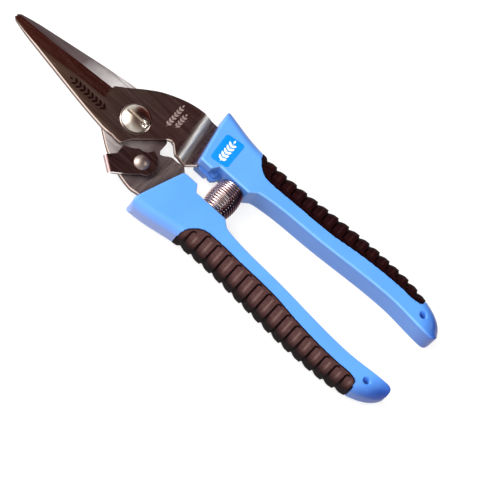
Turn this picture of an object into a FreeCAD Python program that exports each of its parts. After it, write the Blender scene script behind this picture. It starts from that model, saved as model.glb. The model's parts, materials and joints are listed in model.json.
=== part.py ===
"""Floral snips: two stamped blades on a slotted pivot screw, moulded handles with
ribbed soft grips, a barrel spring between the handles and a lock lever on a rivet.

Frame: +X from the blade tips to the handle ends, +Y towards the upper handle, +Z up.
The snips lie on z = 0 and are shut. Outlines are drawn from the pivot axis, for the
upper half; the lower half is the same shape turned over about the X axis.
"""
import FreeCAD, Part
import math
import os
import Sketcher
from FreeCAD import Placement, Rotation, Vector

# alias, value in mm (or degrees), what it is
DIMENSIONS = [
    ("pivot_x", -37.45, "pivot axis, along the snips"),
    ("pivot_y", 0.4, "pivot axis, across the snips"),
    ("handle_thick", 12.0, "handle thickness"),
    ("mid_level", 6.0, "where the two blades meet"),
    ("steel_thick", 2.47, "blade plate"),
    ("blade_clear", 0.03, "from the meeting plane to each blade"),
    ("joggle_drop", 1.22, "how far the tang steps towards the middle"),
    ("joggle_start", -0.8, "start of that step from the bend line"),
    ("joggle_run", 4.6, "length of that step"),
    ("upper_bend_x", 20.2, "bend line of the upper tang, at y = 0"),
    ("upper_bend_turn", 8.3, "its slant in degrees"),
    ("lower_bend_x", 21.5, "bend line of the lower tang, at y = 0"),
    ("lower_bend_turn", 17.5, "its slant in degrees"),
    ("bevel_wide", 5.7, "ground bevel, across"),
    ("bevel_land", 0.3, "thickness left at the cutting edge"),
    ("heel_radius", 10.5, "blade heel about the pivot"),
    ("shank_radius", 3.0, "pivot screw shank"),
    ("running_clear", 0.05, "radial clearance on a pin"),
    ("stack_gap", 0.05, "play between stacked pieces"),
    ("head_radius", 5.2, "pivot screw head"),
    ("head_high", 2.1, "pivot screw head, height"),
    ("head_rim", 0.6, "upright rim of the screw head"),
    ("slot_wide", 1.2, "screwdriver slot"),
    ("slot_deep", 1.0, "screwdriver slot"),
    ("washer_radius", 5.8, "ring under the screw head"),
    ("washer_thick", 0.35, "ring under the screw head"),
    ("nut_flats", 10.0, "pivot nut across flats"),
    ("nut_thick", 2.4, "pivot nut"),
    ("rivet_x", 11.9, "lock rivet from the pivot"),
    ("rivet_y", -10.8, "lock rivet from the pivot"),
    ("rivet_radius", 1.95, "lock rivet shank"),
    ("rivet_head", 2.85, "lock rivet head radius"),
    ("rivet_high", 1.5, "lock rivet head height"),
    ("rivet_rim", 0.3, "upright rim of the rivet head"),
    ("rivet_foot", 1.0, "closed end of the rivet under the blade"),
    ("lever_thick", 1.9, "lock lever plate"),
    ("lever_lift", 0.1, "lever above the meeting plane"),
    ("lever_tab", 3.4, "thumb tab, from the lever's top face down"),
    ("nose_radius", 10.8, "lever nose about the pivot"),
    ("outer_round", 4.2, "rounding of a handle's outer side"),
    ("butt_round", 3.4, "rounding at a handle's end"),
    ("corner_round", 1.8, "blunting of a handle's front corner"),
    ("inner_bevel", 0.8, "bevel along a handle's inner side"),
    ("recess_wall", 6.7, "spring seat in a handle, from the middle line"),
    ("peg_radius", 2.6, "moulded peg inside the spring"),
    ("peg_long", 2.6, "moulded peg"),
    ("lug_thick", 2.8, "stop lug on the upper handle"),
    ("hole_radius", 1.45, "lanyard hole"),
    ("hole_x", 122.0, "lanyard hole from the pivot"),
    ("hole_y", 16.9, "lanyard hole from the middle line"),
    ("slot_clear", 0.05, "moulded slot round a tang"),
    ("groove_deep", 0.55, "grip grooves"),
    ("groove_wide", 2.4, "grip grooves"),
    ("groove_count", 16, "grip grooves"),
    ("groove_slope", 0.2, "half the run of a groove's wall"),
    ("groove_first", 4.0, "first grip groove behind the grip's front"),
    ("groove_last", 115.9, "last grip groove from the pivot"),
    ("groove_inset", 1.4, "from a grip's border to its grooves"),
    ("grip_flush", 0.02, "how far a grip's lands lie under the handle"),
    ("grip_gap", 0.08, "parting line round a grip"),
    ("core_half", 3.0, "handle core under a grip, half its thickness"),
    ("core_inset", 3.0, "handle core under a grip, in from the outer side"),
    ("core_front", 1.0, "front of that core behind the grip's front"),
    ("upper_grip_x", 41.4, "front of the upper grip"),
    ("lower_grip_x", 38.5, "front of the lower grip"),
    ("spring_x", 42.0, "spring axis from the pivot"),
    ("spring_wire", 0.45, "spring wire radius"),
    ("spring_end", 4.35, "coil radius at the ends"),
    ("spring_mid", 5.5, "coil radius at the middle"),
    ("spring_half", 6.1, "half the spring's length, wire centres"),
    ("spring_turns", 11.5, "turns"),
    ("spring_runs", 12, "straight runs in one turn"),
]

THROUGH = ("-2", "dims.handle_thick + 4")   # level and height of a prism right through a handle
AHEAD = 10.0        # x ahead of every handle
BEYOND = 6.0        # how far a cutting outline runs out past the handle's corner
REACH = 60.0        # half the length of a cutting strip

doc = FreeCAD.newDocument("FloralSnips")
sheet = doc.addObject("Spreadsheet::Sheet", "dims")
subparts = []


def fill_sheet():
    """Put every driving dimension in the sheet under its own alias."""
    for row, (alias, value, note) in enumerate(DIMENSIONS, start=1):
        sheet.set(f"A{row}", alias)
        sheet.set(f"B{row}", str(value))
        sheet.set(f"C{row}", note)
        sheet.setAlias(f"B{row}", alias)
    doc.recompute()


def dim(alias):
    """The value of one driving dimension."""
    return float(sheet.get(alias))


# ---------------------------------------------------------------- geometry helpers
def flat(point):
    return Vector(point[0], point[1], 0)


def lines(*points):
    """Straight edges through the points."""
    return [Part.LineSegment(flat(a), flat(b)) for a, b in zip(points, points[1:])]


def arc(start, middle, end):
    return [Part.Arc(flat(start), flat(middle), flat(end))]


def turned_arc(centre, radius, start, sweep):
    """Arc about a centre from a start angle through a sweep, in degrees."""
    spots = [math.radians(start + sweep * share) for share in (0, 0.5, 1)]
    return arc(*[(centre[0] + radius * math.cos(a), centre[1] + radius * math.sin(a)) for a in spots])


def tangent_arc(start, direction, end):
    """The arc that leaves start in a direction and reaches end."""
    chord = end - start
    turn = math.atan2(chord.x * direction.y - chord.y * direction.x, chord.dot(direction))
    if abs(turn) < 1e-5:
        return Part.LineSegment(start, end)
    side = Vector(-chord.y, chord.x, 0)
    return Part.Arc(start, start + chord * 0.5 + side * (0.5 * math.tan(turn / 2)), end)


def two_arcs(start, leave, end, arrive):
    """Two arcs that meet smoothly between two places with given directions."""
    across, both = end - start, leave + arrive
    spread = 2 * (1 - leave.dot(arrive))
    if spread < 1e-9:
        reach = across.dot(across) / (4 * across.dot(arrive))
    else:
        reach = (math.sqrt(across.dot(both) ** 2 + 2 * (1 - leave.dot(arrive)) * across.dot(across))
                 - across.dot(both)) / spread
    joint = (start + leave * reach + end - arrive * reach) * 0.5
    meet = tangent_arc(start, leave, joint)
    return [meet, tangent_arc(end, arrive * -1, joint)]


def smooth(points, leave=None, arrive=None):
    """Arcs through the points without a corner, with optional directions at the ends."""
    places = [flat(p) for p in points]
    if len(places) == 2:
        return two_arcs(places[0], flat(leave).normalize(), places[1], flat(arrive).normalize())
    steps = [b - a for a, b in zip(places, places[1:])]
    ways = [(a / a.dot(a) + b / b.dot(b)).normalize() for a, b in zip(steps, steps[1:])]
    first, last = Vector(steps[0]).normalize(), Vector(steps[-1]).normalize()
    start = flat(leave).normalize() if leave else first * (2 * first.dot(ways[0])) - ways[0]
    end = flat(arrive).normalize() if arrive else last * (2 * last.dot(ways[-1])) - ways[-1]
    ways = [start] + ways + [end]
    made = []
    for index in range(len(steps)):
        made += two_arcs(places[index], ways[index], places[index + 1], ways[index + 1])
    return made


def dome(radius, base, high):
    """Half section of a domed head, as points from its rim to its flattened top."""
    ball = (radius * radius + high * high) / (2 * high)
    low = base + high - ball
    full = math.asin(radius / ball)
    rim = [(ball * math.sin(full * share), low + ball * math.cos(full * share)) for share in (1, 0.6, 0.25)]
    return rim + [(0, rim[-1][1])]


def shifted(points, dy):
    return [(x, y + dy) for x, y in points]


def about_pivot(radius, degrees):
    angle = math.radians(degrees)
    return (radius * math.cos(angle), radius * math.sin(angle))


def height_at(outline, x):
    """Height at x of an outline of lines and arcs that runs along X."""
    for piece in outline:
        spots = [piece.value(piece.FirstParameter + (piece.LastParameter - piece.FirstParameter) * n / 24)
                 for n in range(25)]
        for a, b in zip(spots, spots[1:]):
            if min(a.x, b.x) <= x <= max(a.x, b.x) and a.x != b.x:
                return a.y + (b.y - a.y) * (x - a.x) / (b.x - a.x)
    raise ValueError(f"the outline doesn't pass x = {x}")


# ---------------------------------------------------------------- document helpers
def new_body(name):
    return doc.addObject("PartDesign::Body", name)


def origin_plane(body, role):
    return next(f for f in body.Origin.OriginFeatures if f.Role == role)


def sketch(body, name, role, geometry, level=None):
    """A sketch of the given curves on one of the body's origin planes."""
    made = body.newObject("Sketcher::SketchObject", name)
    made.AttachmentSupport = [(origin_plane(body, role), "")]
    made.MapMode = "FlatFace"
    made.addGeometry(geometry, False)
    if level:
        made.setExpression("AttachmentOffset.Base.z", level)
    return made


def circle_sketch(body, name, level, radius, centre=(0, 0)):
    """One circle whose radius follows an expression."""
    ring = Part.Circle(flat(centre), Vector(0, 0, 1), 1.0)
    made = sketch(body, name, "XY_Plane", [ring], level)
    made.addConstraint(Sketcher.Constraint("Radius", 0, 1.0))
    made.setExpression("Constraints[0]", radius)
    return made


def pad(body, profile, length):
    feature = body.newObject("PartDesign::Pad", profile.Name + "_pad")
    feature.Profile = profile
    feature.setExpression("Length", length)
    return feature


def pocket(body, profile, length):
    """Cut from the sketch against its normal."""
    feature = body.newObject("PartDesign::Pocket", profile.Name + "_pocket")
    feature.Profile = profile
    feature.setExpression("Length", length)
    return feature


def drill(body, name, radius, centre=(0, 0)):
    """Round hole right through a body."""
    pocket(body, circle_sketch(body, name, "dims.handle_thick", radius, centre), "dims.handle_thick")


def revolve(body, profile):
    feature = body.newObject("PartDesign::Revolution", profile.Name + "_turn")
    feature.Profile = profile
    feature.ReferenceAxis = (profile, ["V_Axis"])
    feature.Angle = 360
    return feature


def prism(name, geometry, level, length):
    """A body that is one padded outline."""
    body = new_body(name)
    pad(body, sketch(body, name + "_outline", "XY_Plane", geometry, level), length)
    return body


def cut(name, base, tool):
    made = doc.addObject("Part::Cut", name)
    made.Base = base
    made.Tool = tool
    return made


def common(name, base, tool):
    made = doc.addObject("Part::Common", name)
    made.Base = base
    made.Tool = tool
    return made


def fuse(name, *pieces):
    made = doc.addObject("Part::MultiFuse", name)
    made.Shapes = list(pieces)
    return made


def finish(thing, label, turned_over=False):
    """Name a sub-part and place it: the pivot at its place, the lower half turned over."""
    thing.Label = label
    if turned_over:
        thing.Placement = Placement(Vector(0, 0, dim("handle_thick")), Rotation(Vector(1, 0, 0), 180))
        thing.setExpression(".Placement.Base.z", "dims.handle_thick")
    thing.setExpression(".Placement.Base.x", "dims.pivot_x")
    thing.setExpression(".Placement.Base.y", "dims.pivot_y")
    subparts.append(thing)


# ---------------------------------------------------------------- blades
CUTTING_EDGE = [(-55.2, 1.2), (-50, 1.45), (-40, 1.95), (-25, 3.25), (-13.3, 4.1)]
SHOULDER = [(-13.0, 4.6), (-10, 6.8), (-5, 11.0), (0, 14.6), (5, 17.1), (10.6, 19.1), (16, 20.0)]
SPINE = [(-10, -10.1), (-20, -8.6), (-30, -6.8), (-40, -5.0), (-50, -3.1), (-55, -1.8), (-56.2, -0.8)]
TANG = [(16, 20.0), (22.4, 19.9), (27, 19.5), (40, 18.4), (78, 18.2), (80, 16.2), (78, 14.2),
        (50, 12.2), (46, 9.3), (33.5, 9.0), (28.2, 5.5), (27.1, 3.6), (23.9, 0.4), (18.8, 0.4)]
HEEL = (-102, -91, -81)                         # degrees of the heel arc about the pivot
BEVEL_LINE = [(-50.6, 0.9), (-13.6, 4.1)]       # foot of the ground bevel, in plan


def blade_outline(window):
    """Outline from the tip along the cutting edge, round the tang and back along the spine."""
    heel = [about_pivot(dim("heel_radius"), degrees) for degrees in HEEL]
    return (smooth(CUTTING_EDGE) + lines(CUTTING_EDGE[-1], SHOULDER[0]) + smooth(SHOULDER)
            + lines(*TANG) + lines(TANG[-1], *window, heel[2]) + arc(*reversed(heel))
            + smooth([heel[0], (-6, -10.5)] + SPINE[:-1]) + lines(*SPINE[-2:], CUTTING_EDGE[0]))


def joggle_bends(start, drop, run, radius, thick):
    """The two bends of a joggle on one face: centres and radii, the second the other way up."""
    first = (start[0], start[1] - radius)
    second = (start[0] + run, start[1] - drop + radius)
    turn = math.asin(run / (2 * radius))
    return (turned_arc(first, radius - thick, 90, -math.degrees(turn))
            + turned_arc(second, radius + thick, 270 - math.degrees(turn), math.degrees(turn)))


def joggle_strip(name, bend_x, bend_turn):
    """Plate seen from the side: flat blade, two easy bends, tang at the middle level."""
    thick, drop, run = dim("steel_thick"), dim("joggle_drop"), dim("joggle_run")
    top = dim("mid_level") + dim("blade_clear") + thick
    start = (dim("joggle_start"), top)
    radius = (run * run + drop * drop) / (4 * drop)
    over = joggle_bends(start, drop, run, radius, 0)
    under = joggle_bends(start, drop, run, radius, thick)
    low, end, far = top - thick, start[0] + run, 2 * REACH
    side = (lines((-far, top), start) + over
            + lines((end, top - drop), (far, top - drop), (far, low - drop), (end, low - drop)) + under[::-1]
            + lines((start[0], low), (-far, low), (-far, top)))
    body = new_body(name)
    profile = sketch(body, name + "_side", "XZ_Plane", side, f"{REACH}")
    pad(body, profile, f"{2 * REACH}").Reversed = True
    body.Placement = Placement(Vector(0, 0, 0), Rotation(Vector(0, 0, 1), dim(bend_turn)))
    body.setExpression(".Placement.Base.x", f"dims.{bend_x}")
    return body


def bevel_wedge(name):
    """What grinding takes off the top face along the cutting edge."""
    plate_top = dim("mid_level") + dim("blade_clear") + dim("steel_thick")
    edge_top = dim("mid_level") + dim("blade_clear") + dim("bevel_land")
    wide, past, over = dim("bevel_wide"), 4, plate_top + 2
    rise = (plate_top - edge_top) / wide
    section = lines((-wide, plate_top), (past, edge_top - past * rise), (past, over), (-wide, over),
                    (-wide, plate_top))
    body = new_body(name)
    pad(body, sketch(body, name + "_section", "YZ_Plane", section, f"{-REACH}"), f"{REACH}")
    start, end = (flat(point) for point in BEVEL_LINE)
    slant = math.degrees(math.atan2(end.y - start.y, end.x - start.x))
    body.Placement = Placement(end, Rotation(Vector(0, 0, 1), slant))
    return body


def blade(side, window, bend_x, bend_turn, holes):
    """One stamped, joggled and ground blade with its tang."""
    body = prism(side + "_blank", blade_outline(window), "dims.mid_level / 2", "dims.mid_level")
    for name, radius, centre in holes:
        drill(body, f"{side}_{name}", radius, centre)
    plate = common(side + "_plate", body, joggle_strip(side + "_strip", bend_x, bend_turn))
    return cut(side + "_ground", plate, bevel_wedge(side + "_bevel"))


def make_blades():
    step = [(17.8, 1.2), (16, 3.0), (14.6, 3.45), (13.4, 3.0), (11, 0.7), (5, -5.2), (3.9, -6.2),
            (3.1, -7.4), (2.3, -9.0)]
    window = [(17.6, 0.9), (16, 2.2), (14.7, 2.7), (13.9, 1.6), (13.9, -2), (13.0, -4), (9, -7.6),
              (5, -9.6)]
    bore = ("bore", "dims.shank_radius + dims.running_clear", (0, 0))
    rivet = ("rivet_bore", "dims.rivet_radius + dims.running_clear", (dim("rivet_x"), -dim("rivet_y")))
    finish(blade("upper", step, "upper_bend_x", "upper_bend_turn", [bore]), "upper_blade")
    finish(blade("lower", window, "lower_bend_x", "lower_bend_turn", [bore, rivet]), "lower_blade",
           turned_over=True)


# ---------------------------------------------------------------- handles and grips
OUTER = [(41, 23.3), (55, 22.95), (78, 24.35), (98, 25.15), (119, 23.2)]
BUTT = [(119, 23.2), (131.1, 15.0)]
INNER = [(131.1, 13.9), (127.4, 12.0), (110, 13.25), (78, 11.25), (51, 9.35)]
GRIP_EDGE = [(62, 15.5), (78, 16.1), (90, 17.7), (100, 18.6), (110, 18.95), (116.4, 18.9)]
GRIP_BACK = 119.8
NOSE = [(0.25, -1.1), (0.32, -0.3), (1.2, 0.0)]     # blunted corner, in units of its own size
SUNK_SHARE = 0.8                                    # of the end's rounding that the level faces follow
BEVEL_SHARE, ROUND_SHARE = 0.2, 0.45                # most of a narrow handle's width that each may take
CORE_BACK, CORE_LOW = (113, 16.5), (70, 13)         # back and lowest corners of the core, in plan
BODY_STATIONS = [36, 41, 47, 49, 51, 60, 69, 78, 88, 98, 105, 112, 119]
BUTT_STATIONS = [122, 125, 127.4, 128.8, 129.8, 130.5, 130.9, 131.1]


def outer_side(front):
    """Plan curve of a handle's outer side, from its front corner round to its end."""
    corner = front[2]
    return (lines((corner[0] - BEYOND, corner[1] + 0.9), corner) + smooth(front[2:] + OUTER, arrive=(1, -0.27))
            + smooth(BUTT, leave=(1, -0.27), arrive=(0.1, -1)))


def inner_side(front):
    """Plan curve of a handle's inner side: end, spring seat, step, front corner."""
    wall = dim("recess_wall")
    low = front[0][1]
    return (smooth(INNER, arrive=(-1, -0.25)) + lines(INNER[-1], (49, 8.4), (47, wall), (33.4, wall),
                                                       (31.6, low), (AHEAD, low)))


def sunk_at_end(x):
    """How far the level faces have come down where the end rounds off."""
    turn = dim("butt_round")
    into = max(0.0, x - (BUTT[-1][0] - turn))
    return min(turn - math.sqrt(max(0.0, turn * turn - into * into)), SUNK_SHARE * turn)


def outer_runs(rim, low, turn, deep=0.0):
    """The rounded outer side in section as straight runs, from the lower face to mid height."""
    runs = []
    for angle in (0, 30, 60, 90):
        way = math.radians(angle)
        small = turn - deep
        runs.append((rim - turn + small * math.sin(way), low + turn - small * math.cos(way)))
    return runs


def section(x, half):
    """Closed section at x from its lower half, which is mirrored above the middle level."""
    thick = dim("handle_thick")
    ring = half + [(y, thick - z) for y, z in reversed(half)]
    return Part.makePolygon([Vector(x, y, z) for y, z in ring + ring[:1]])


def handle_section(x, outer, inner):
    """Handle section at x: bevelled inner side, rounded outer side."""
    rim, wall, low = height_at(outer, x), height_at(inner, x), sunk_at_end(x)
    bevel = min(dim("inner_bevel"), BEVEL_SHARE * (rim - wall))
    turn = min(dim("outer_round"), ROUND_SHARE * (rim - wall))
    return section(x, [(wall, low + bevel), (wall + bevel, low)] + outer_runs(rim, low, turn))


def flat_face(face):
    """The same four-sided or closed end face, as a true plane."""
    corners = [vertex.Point for vertex in face.OuterWire.OrderedVertexes]
    return Part.Face(Part.makePolygon(corners + corners[:1]))


def ruled(name, sections):
    """Solid through the sections by straight strips; strips in one plane become one flat face."""
    strips = Part.makeLoft(sections, True, True).Faces
    shell = Part.makeShell([flat_face(strip) if strip.findPlane() else strip for strip in strips])
    shell.sewShape()
    made = doc.addObject("Part::Feature", name)
    made.Shape = Part.makeSolid(shell).removeSplitter()
    return made


def moulded_form(side, front):
    """The whole handle form, grip included, as a ruled loft cut to its front curve."""
    outer, inner = outer_side(front), inner_side(front)
    corner = front[2]
    stations = [corner[0] - 4, corner[0], front[3][0], 31.6, 33.4] + BODY_STATIONS + BUTT_STATIONS
    bar = ruled(side + "_form", [handle_section(x, outer, inner) for x in stations])
    size, above, below = dim("corner_round"), corner[1] + BEYOND, front[0][1] - 3
    before, between, behind = [(corner[0] + x * size, corner[1] + y * size) for x, y in NOSE]
    ahead = (arc(front[0], front[1], before) + arc(before, between, behind)
             + lines(behind, (behind[0], above), (AHEAD, above), (AHEAD, below), front[0]))
    return cut(side + "_fronted", bar, prism(side + "_ahead", ahead, *THROUGH))


def grip_edge(front_x, away):
    """Where rubber meets handle, from the front corner to the back one, moved outwards by away."""
    start = [(front_x, 23.6), (front_x + 0.9, 20.6), (front_x + 3.2, 17.4), (front_x + 6.4, 15.5),
             (front_x + 11, 15.1)]
    moved = [(x + away, y) for x, y in start[:2]]
    moved += [(x + 0.7 * away, y + 0.7 * away) for x, y in start[2:4]]
    return moved + shifted(start[4:] + GRIP_EDGE, away)


def grip_region(front_x, away):
    """Plan of the rubber, running out past the handle's outer side."""
    edge = grip_edge(front_x, away)
    back = (GRIP_BACK - away, GRIP_EDGE[-1][1] + 3.4)
    bend = (GRIP_BACK - 1.0 - away, GRIP_EDGE[-1][1] + 0.9 + away)
    far = 32
    return (smooth(edge) + arc(edge[-1], bend, back) + lines(back, (back[0], far))
            + lines((back[0], far), (edge[0][0], far), edge[0]))


def core_plan(front_x, away):
    """Plan of the handle core under the rubber, grown by away."""
    inset = away - dim("core_inset")
    outer = shifted(OUTER[1:-1], inset)
    front = (front_x + dim("core_front") - away, outer[0][1])
    back = (CORE_BACK[0] + away, outer[-1][1])
    return (lines((front[0], CORE_LOW[1]), front, outer[0]) + smooth(outer) + lines(outer[-1], back)
            + lines(back, (back[0], CORE_BACK[1]), CORE_LOW, (front[0], CORE_LOW[1])))


def rubber_section(x, rim, step, deep):
    """Grip section at x, flush with the handle up to the step and lowered by deep beyond it."""
    return section(x, [(10, 0), (step, 0), (step, deep)] + outer_runs(rim, 0, dim("outer_round"), deep))


def grooved_bar(side, front, front_x):
    """The outer side of a handle as a ruled loft, flush on the lands and lowered in the grooves."""
    outer = outer_side(front)
    border = smooth(grip_edge(front_x, 0)) + lines(GRIP_EDGE[-1], (GRIP_BACK + 2, GRIP_EDGE[-1][1]))
    count, half, deep = int(dim("groove_count")), dim("groove_wide") / 2, dim("groove_deep")
    first = front_x + dim("groove_first")
    pitch = (dim("groove_last") - first) / (count - 1)
    flush, slope = dim("grip_flush"), dim("groove_slope")
    stations = [(front_x - 3, flush)]
    for index in range(count):
        left = first + index * pitch - half
        right = left + 2 * half
        stations += [(left - slope, flush), (left + slope, deep), (right - slope, deep), (right + slope, flush)]
    stations.append((GRIP_BACK + 1, flush))
    sections = []
    for x, lowered in stations:
        rim = height_at(outer, x)
        inset = height_at(border, max(x, front_x + 0.5)) + dim("groove_inset")
        step = min(inset, rim - dim("outer_round") - 0.4)
        sections.append(rubber_section(x, rim, step, lowered))
    return ruled(side + "_bar", sections)


def make_handle(side, front, front_x, extras, turned_over):
    """A handle with its tang slot, lanyard hole and core, and the grip that wraps the core."""
    form = moulded_form(side, front)
    region = prism(side + "_grip_room", grip_region(front_x, 0), *THROUGH)
    core = prism(side + "_core", core_plan(front_x, 0), "dims.mid_level - dims.core_half",
                 "2 * dims.core_half")
    slot = prism(side + "_tang_slot", tang_slot(),
                 "dims.mid_level + dims.blade_clear - dims.joggle_drop - dims.slot_clear",
                 "dims.steel_thick + 2 * dims.slot_clear")
    hole = new_body(side + "_hole")
    pad(hole, circle_sketch(hole, side + "_hole_ring", THROUGH[0], "dims.hole_radius",
                            (dim("hole_x"), dim("hole_y"))), THROUGH[1])
    shell = fuse(side + "_shell", cut(side + "_trimmed", form, region), core, *extras)
    slotted = cut(side + "_slotted", shell, slot)
    finish(cut(side + "_drilled", slotted, hole), side + "_handle", turned_over)
    room = prism(side + "_rubber_room", grip_region(front_x, dim("grip_gap")), *THROUGH)
    bar = common(side + "_grooved", grooved_bar(side, front, front_x), room)
    inside = prism(side + "_core_room", core_plan(front_x, dim("slot_clear")),
                   "dims.mid_level - dims.core_half - dims.slot_clear",
                   "2 * dims.core_half + 2 * dims.slot_clear")
    rubber = cut(side + "_rubber", bar, inside)
    finish(rubber, side + "_grip", turned_over)


def tang_slot():
    """Room for a tang inside a handle, a hair larger than the steel."""
    gap = dim("slot_clear")
    return lines((15, 19.9 + gap), (22.4, 19.9 + gap), (27, 19.5 + gap), (40, 18.4 + gap), (78, 18.2 + gap),
                 (80 + 1.4 * gap, 16.2), (78, 14.2 - gap), (50, 12.2 - gap), (46, 9.3 - gap),
                 (33.5, 9.0 - gap), (28.2 + gap, 5.5 - gap), (26.1, 2.0), (15, 2.0), (15, 19.9 + gap))


def spring_peg(side):
    """Short peg that keeps the spring in its seat."""
    peg = doc.addObject("Part::Cylinder", side + "_peg")
    peg.setExpression("Radius", "dims.peg_radius")
    peg.setExpression("Height", "dims.peg_long + 1")
    middle = Vector(dim("spring_x"), dim("recess_wall") + 1, dim("mid_level"))
    peg.Placement = Placement(middle, Rotation(Vector(1, 0, 0), 90))
    return peg


def stop_lug():
    """Flat lug on the upper handle's inner side, in front of the spring."""
    plan = lines((27.6, 6), (27.6, 4.1), (28.4, 3.0), (29.2, 2.4), (33.0, 2.4), (34.3, 3.4), (35.3, 5.2),
                 (35.6, 8), (27.6, 6))
    return prism("upper_lug", plan, "dims.mid_level - dims.lug_thick / 2", "dims.lug_thick")


def make_handles():
    upper_front = [(26.4, 4.0), (23.5, 14.5), (22.4, 26.18), (28, 25.1)]
    lower_front = [(25.5, 3.9), (21.6, 14.5), (17.3, 26.9), (26, 25.9)]
    make_handle("upper", upper_front, dim("upper_grip_x"), [spring_peg("upper"), stop_lug()], False)
    make_handle("lower", lower_front, dim("lower_grip_x"), [spring_peg("lower")], True)


# ---------------------------------------------------------------- pivot and lock
def make_screw():
    """Domed, slotted pivot screw through both blades and the nut."""
    half_stack = dim("blade_clear") + dim("steel_thick")
    seat = dim("mid_level") + half_stack + dim("stack_gap") + dim("washer_thick")
    low = dim("mid_level") - half_stack - dim("nut_thick")
    shank, head, high, rim = dim("shank_radius"), dim("head_radius"), dim("head_high"), dim("head_rim")
    body = new_body("screw")
    side = ([(0, low), (shank, low), (shank, seat), (head, seat)] + dome(head, seat + rim, high - rim)
            + [(0, low)])
    revolve(body, sketch(body, "screw_side", "XZ_Plane", lines(*side)))
    half, past = dim("slot_wide") / 2, head + 2.8
    slot = lines((-past, -half), (past, -half), (past, half), (-past, half), (-past, -half))
    groove = sketch(body, "screw_slot", "XY_Plane", slot, f"{seat + high + 1}")
    pocket(body, groove, "dims.slot_deep + 1")
    finish(body, "pivot_screw")


def make_washer():
    body = new_body("washer")
    level = "dims.mid_level + dims.blade_clear + dims.steel_thick + dims.stack_gap"
    pad(body, circle_sketch(body, "washer_rim", level, "dims.washer_radius"), "dims.washer_thick")
    drill(body, "washer_bore", "dims.shank_radius + dims.running_clear")
    finish(body, "pivot_washer")


def make_nut():
    """Hexagon nut under the lower blade."""
    corner = dim("nut_flats") / math.sqrt(3)
    corners = [about_pivot(corner, 60 * n + 30) for n in range(7)]
    body = new_body("nut")
    level = "dims.mid_level - dims.blade_clear - dims.steel_thick - dims.nut_thick"
    pad(body, sketch(body, "nut_hexagon", "XY_Plane", lines(*corners), level), "dims.nut_thick")
    drill(body, "nut_bore", "dims.shank_radius + dims.running_clear")
    finish(body, "pivot_nut")


def make_rivet():
    """Rivet with a domed head above the lever and a flat one under the blade."""
    shank, head, rim = dim("rivet_radius"), dim("rivet_head"), dim("rivet_rim")
    seat = dim("mid_level") + dim("lever_lift") + dim("lever_thick") + dim("stack_gap")
    under = dim("mid_level") - dim("blade_clear") - dim("steel_thick")
    foot = under - dim("rivet_foot")
    body = new_body("rivet")
    side = ([(0, foot), (head, foot), (head, under), (shank, under), (shank, seat), (head, seat)]
            + dome(head, seat + rim, dim("rivet_high") - rim) + [(0, foot)])
    revolve(body, sketch(body, "rivet_side", "XZ_Plane", lines(*side)))
    finish(body, "lock_rivet")
    body.setExpression(".Placement.Base.x", "dims.pivot_x + dims.rivet_x")
    body.setExpression(".Placement.Base.y", "dims.pivot_y + dims.rivet_y")


TAB_EDGE = [(0.6, -17.65), (6.0, -21.7)]        # where the thumb tab bends down, in plan


def lever_outline():
    """Lever plate: nose towards the heel, pointed shoulder, round lobe, thumb tab."""
    radius = dim("nose_radius")
    nose = [about_pivot(radius, -73.3), about_pivot(radius, -57), about_pivot(radius, -42.5)]
    return (arc(*nose) + arc(nose[2], (10.6, -6.6), (12.3, -4.2))
            + smooth([(12.3, -4.2), (14.6, -5.0), (16.6, -7.3), (17.3, -10.1), (16.5, -12.6), (14.6, -14.1)])
            + lines((14.6, -14.1), (11.2, -17.4), TAB_EDGE[1], TAB_EDGE[0], (3.3, -14.3), (3.1, -11.2), nose[0]))


def make_thumb_tab():
    """Tab bent down along the lever's outer edge, its bend as wide as the plate is thick."""
    thick, deep = dim("lever_thick"), dim("lever_tab")
    top = dim("mid_level") + dim("lever_lift") + thick
    start, end = flat(TAB_EDGE[0]), flat(TAB_EDGE[1])
    side = (turned_arc((0, top - thick), thick, 90, 90)
            + lines((-thick, top - thick), (-thick, top - deep), (0.3, top - deep), (0.3, top), (0, top)))
    body = new_body("thumb_tab")
    pad(body, sketch(body, "thumb_tab_side", "XZ_Plane", side), str((end - start).Length))
    along = math.degrees(math.atan2(end.y - start.y, end.x - start.x))
    body.Placement = Placement(start, Rotation(Vector(0, 0, 1), along + 90))
    return body


def make_lever():
    body = new_body("lever")
    level = "dims.mid_level + dims.lever_lift"
    pad(body, sketch(body, "lever_plate", "XY_Plane", lever_outline(), level), "dims.lever_thick")
    drill(body, "lever_bore", "dims.rivet_radius + dims.running_clear", (dim("rivet_x"), dim("rivet_y")))
    finish(fuse("bent_lever", body, make_thumb_tab()), "lock_lever")


# ---------------------------------------------------------------- spring
def wire_section(places):
    """Hexagon of the wire's size, square to the coil's first run."""
    along = (places[1] - places[0]).normalize()
    side = Vector(0, 1, 0).cross(along).normalize()
    up = along.cross(side)
    corners = []
    for corner in range(7):
        angle = math.radians(60 * corner + 30)
        corners.append(places[0] + (side * math.cos(angle) + up * math.sin(angle)) * dim("spring_wire"))
    return Part.makePolygon(corners)


def make_spring():
    """Barrel compression spring across the gap: wire bent in short runs along a swelling helix."""
    half, turns = dim("spring_half"), dim("spring_turns")
    end, middle = dim("spring_end"), dim("spring_mid")
    steps = int(turns * dim("spring_runs"))
    places = []
    for step in range(steps + 1):
        share = step / steps
        radius = end + (middle - end) * math.sin(math.pi * share) ** 0.8
        angle = 2 * math.pi * turns * share
        places.append(Vector(radius * math.cos(angle), half * (2 * share - 1), radius * math.sin(angle)))
    made = doc.addObject("Part::Feature", "spring")
    made.Shape = Part.makePolygon(places).makePipeShell([wire_section(places)], True, True, 1)
    made.Label = "return_spring"
    made.setExpression(".Placement.Base.x", "dims.pivot_x + dims.spring_x")
    made.setExpression(".Placement.Base.y", "dims.pivot_y")
    made.setExpression(".Placement.Base.z", "dims.mid_level")
    subparts.append(made)


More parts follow.
